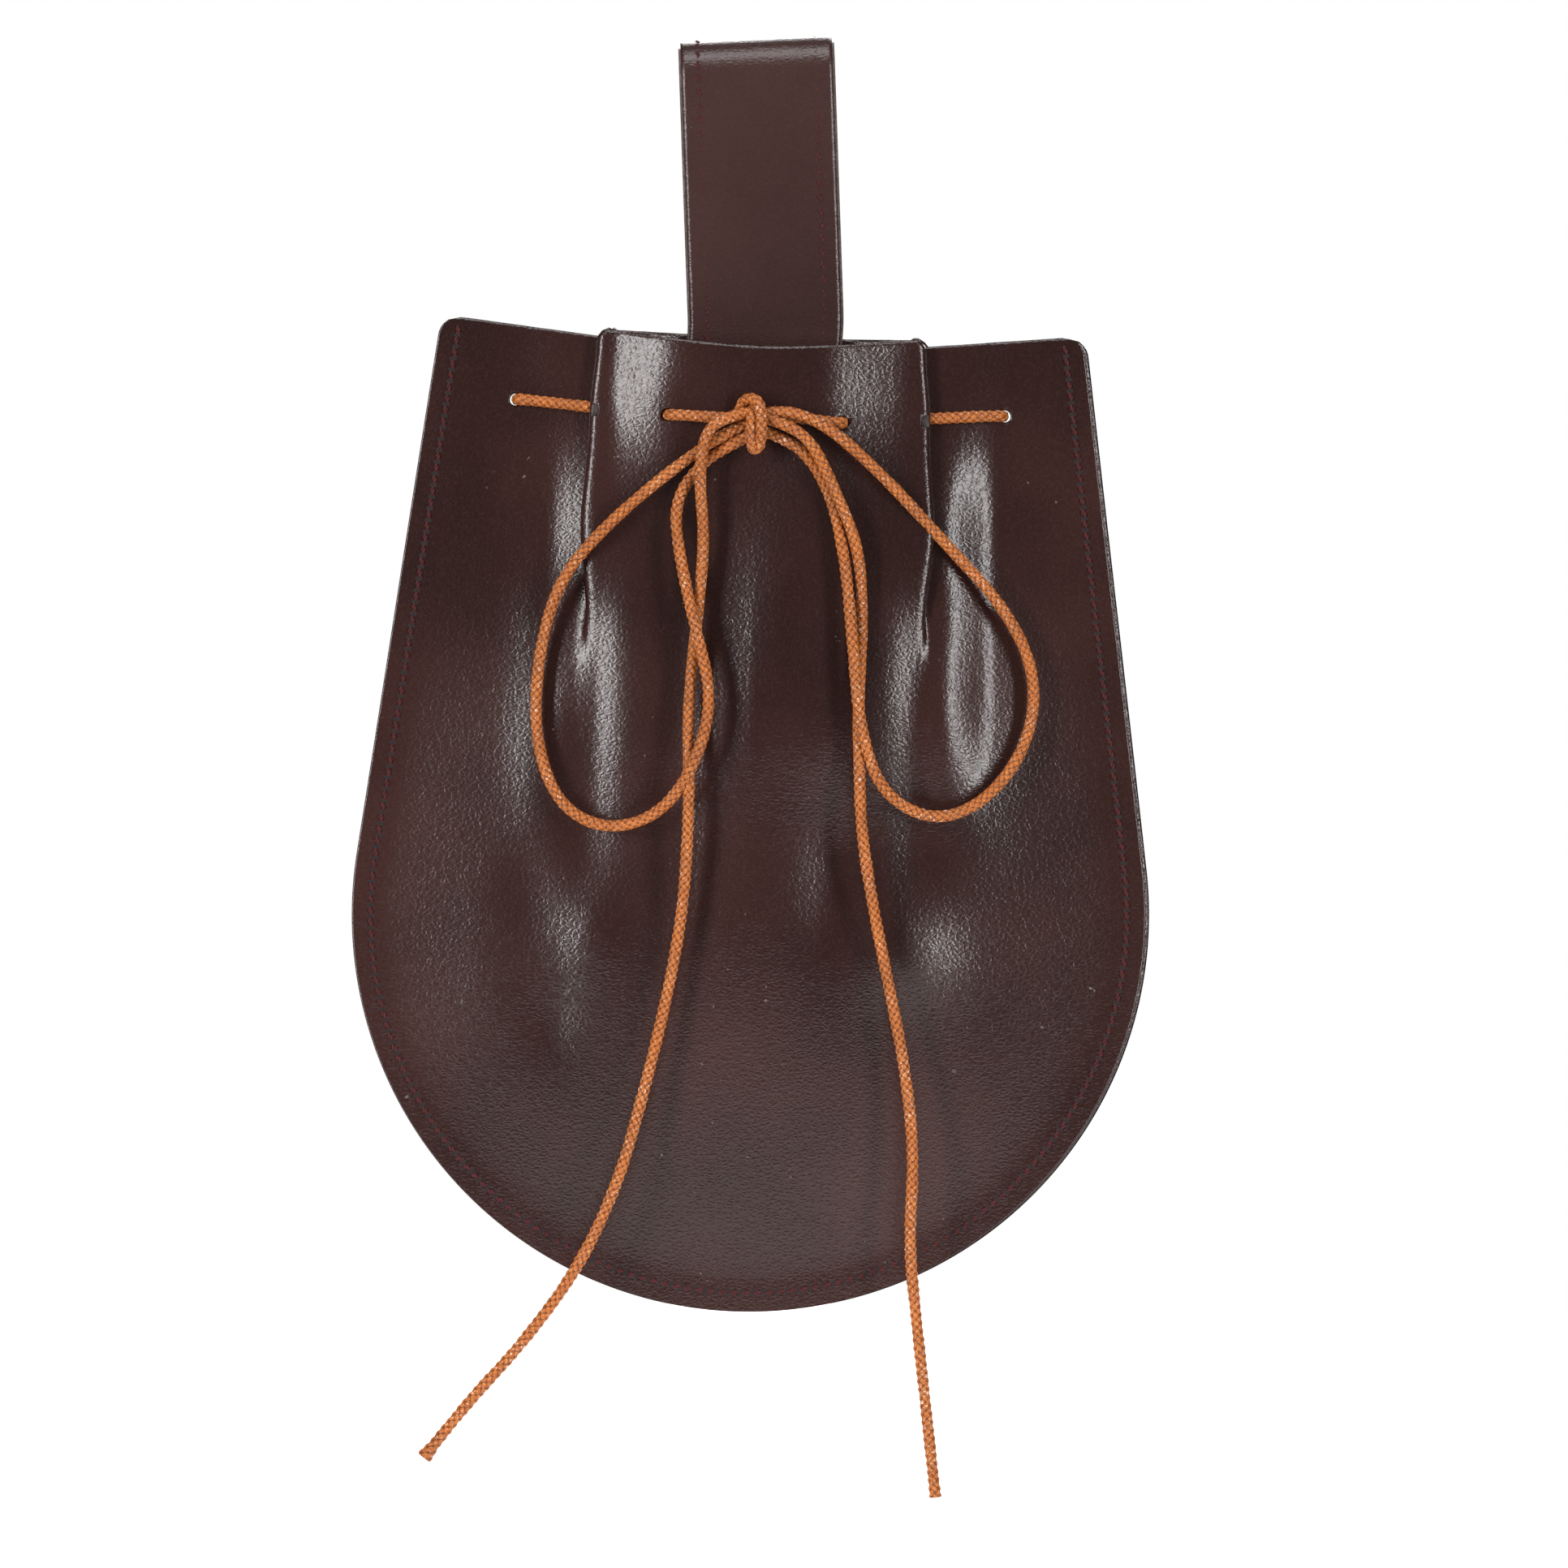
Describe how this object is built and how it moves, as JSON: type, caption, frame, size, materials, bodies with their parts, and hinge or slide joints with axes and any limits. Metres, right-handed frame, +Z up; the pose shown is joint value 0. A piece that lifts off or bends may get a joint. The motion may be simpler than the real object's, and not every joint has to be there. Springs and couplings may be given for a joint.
{
  "type": "drawstring dice bag",
  "caption": "Horseshoe leather pouch with a pleated mouth laced by a waxed drawcord tied in a bow, hanging from a stitched belt loop.",
  "frame": {"origin": "inside top of the belt loop, where a belt carries the bag", "axes": "+X to the right seen from the front, -Y out of the front panel, +Z up"},
  "size_m": [0.1394, 0.029, 0.2563],
  "materials": {
    "panel_leather": "smooth satin, fine pebble grain",
    "strap_leather": "smooth satin",
    "lining_leather": "matte raw edge",
    "sewing_thread": "twisted, waxed",
    "waxed_cord": "braided, waxed"
  },
  "bodies": {
    "belt_loop": {"belt_loop_outer_strip": "strap_leather", "belt_loop_lining_strip": "lining_leather", "belt_loop_left_edge_stitching": "sewing_thread", "belt_loop_right_edge_stitching": "sewing_thread"},
    "pouch": {"front_panel": "panel_leather", "back_panel": "panel_leather", "side_seam_thread": "sewing_thread", "front_tab_outer_strip": "strap_leather", "front_tab_lining_strip": "lining_leather", "back_tab_outer_strip": "strap_leather", "back_tab_lining_strip": "lining_leather", "tab_anchor_stitching": "sewing_thread", "drawcord_lacing": "waxed_cord", "bow_knot": "waxed_cord"},
    "bow": {"bow_left_loop": "waxed_cord", "bow_left_tail": "waxed_cord", "bow_right_loop": "waxed_cord", "bow_right_tail": "waxed_cord"},
    "left_tail": {"left_tail_end": "waxed_cord"},
    "right_tail": {"right_tail_end": "waxed_cord"}
  },
  "joints": [
    {"name": "strap_flex", "type": "hinge", "parent": "belt_loop", "child": "pouch", "pos_m": [0.0016, 0, -0.0505], "axis": [1, 0, 0], "range_deg": [-30, 30], "stiffness_Nm_per_rad": 0.06},
    {"name": "bow_swing", "type": "hinge", "parent": "pouch", "child": "bow", "pos_m": [0, -0.0122, -0.0655], "axis": [-1, 0, 0], "range_deg": [0, 45]},
    {"name": "left_tail_swing", "type": "hinge", "parent": "bow", "child": "left_tail", "pos_m": [-0.0117, -0.0161, -0.1295], "axis": [-1, 0, 0], "range_deg": [0, 45]},
    {"name": "right_tail_swing", "type": "hinge", "parent": "bow", "child": "right_tail", "pos_m": [0.018, -0.016, -0.127], "axis": [-1, 0, 0], "range_deg": [0, 45]}
  ]
}
